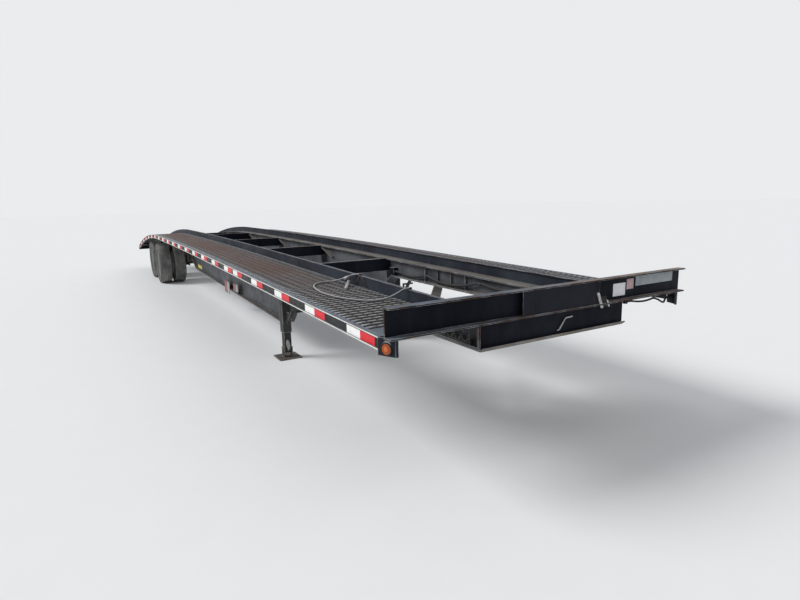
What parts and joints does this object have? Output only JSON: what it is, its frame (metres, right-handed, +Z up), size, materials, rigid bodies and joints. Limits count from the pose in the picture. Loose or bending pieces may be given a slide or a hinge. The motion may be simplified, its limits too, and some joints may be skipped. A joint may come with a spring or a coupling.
{
  "type": "two-runway car hauling semi-trailer",
  "caption": "Car hauling semi-trailer with barred runways on deep girders, a kingpin coupler, landing legs and tandem axles with dual wheels.",
  "frame": {"origin": "on the ground under the middle of the trailer's length and width", "axes": "+X forward to the coupler, +Y to the left, +Z up"},
  "size_m": [14.63, 2.591, 1.24],
  "materials": {
    "frame_paint": "satin black, worn at the edges",
    "panel_paint": "satin black",
    "girder_paint": "satin dark grey-blue, dusty",
    "rail_paint": "satin black, worn bright at the edges",
    "mesh_paint": "satin black",
    "deck_steel": "worn to brown-grey steel where tyres run",
    "leg_paint": "satin black",
    "axle_paint": "dusty black",
    "spring_steel": "rough, brown-black",
    "wheel_paint": "grey enamel",
    "bare_steel": "machined",
    "tyre": "dusty rubber",
    "rubber": "matte",
    "amber_lens": "gloss",
    "red_lens": "gloss"
  },
  "bodies": {
    "frame": {"air_hoses": "rubber", "air_tank": "axle_paint", "axle_clamps": "axle_paint", "axle_front": "axle_paint", "axle_rear": "axle_paint", "brake_chambers": "axle_paint", "centre_plate": "panel_paint", "cord_fittings": "frame_paint", "coupler_front": "frame_paint", "coupler_plate": "frame_paint", "coupler_side_meshes": "mesh_paint", "cross_members": "frame_paint", "curb_left": "girder_paint", "curb_right": "girder_paint", "front_beam": "frame_paint", "front_deck_plates": "deck_steel", "front_fittings": "frame_paint", "girder_left": "girder_paint", "girder_right": "girder_paint", "kingpin": "bare_steel", "kingpin_bridge": "frame_paint", "lamp_brackets": "frame_paint", "lamp_grommets": "rubber", "landing_leg_left": "leg_paint", "landing_leg_right": "leg_paint", "leaf_springs": "spring_steel", "leg_braces": "leg_paint", "leg_crank": "leg_paint", "leg_cross_shaft": "leg_paint", "leg_feet": "leg_paint", "loose_cable": "rubber", "marker_lamps": "amber_lens", "neck_brace": "girder_paint", "outriggers_left": "frame_paint", "outriggers_right": "frame_paint", "runway_middle_left": "deck_steel", "runway_middle_right": "deck_steel", "runway_neck_left": "deck_steel", "runway_neck_right": "deck_steel", "runway_rear_left": "deck_steel", "runway_rear_right": "deck_steel", "runway_tail_left": "deck_steel", "runway_tail_right": "deck_steel", "side_rail_left": "rail_paint", "side_rail_right": "rail_paint", "spring_hangers": "axle_paint", "spring_rockers": "axle_paint", "tail_beam": "frame_paint", "tail_lamps": "red_lens", "torque_rods": "axle_paint"},
    "wheels_front_right": {"tyres_front_right": "tyre", "wheel_front_right": "wheel_paint"},
    "wheels_front_left": {"tyres_front_left": "tyre", "wheel_front_left": "wheel_paint"},
    "wheels_rear_right": {"tyres_rear_right": "tyre", "wheel_rear_right": "wheel_paint"},
    "wheels_rear_left": {"tyres_rear_left": "tyre", "wheel_rear_left": "wheel_paint"}
  },
  "joints": [
    {"name": "roll_front_right", "type": "hinge", "parent": "frame", "child": "wheels_front_right", "pos_m": [-3.785, -0.935, 0.4575], "axis": [0, 1, 0], "continuous": true},
    {"name": "roll_front_left", "type": "hinge", "parent": "frame", "child": "wheels_front_left", "pos_m": [-3.785, 0.935, 0.4575], "axis": [0, 1, 0], "continuous": true},
    {"name": "roll_rear_right", "type": "hinge", "parent": "frame", "child": "wheels_rear_right", "pos_m": [-5.035, -0.935, 0.4575], "axis": [0, 1, 0], "continuous": true},
    {"name": "roll_rear_left", "type": "hinge", "parent": "frame", "child": "wheels_rear_left", "pos_m": [-5.035, 0.935, 0.4575], "axis": [0, 1, 0], "continuous": true}
  ]
}
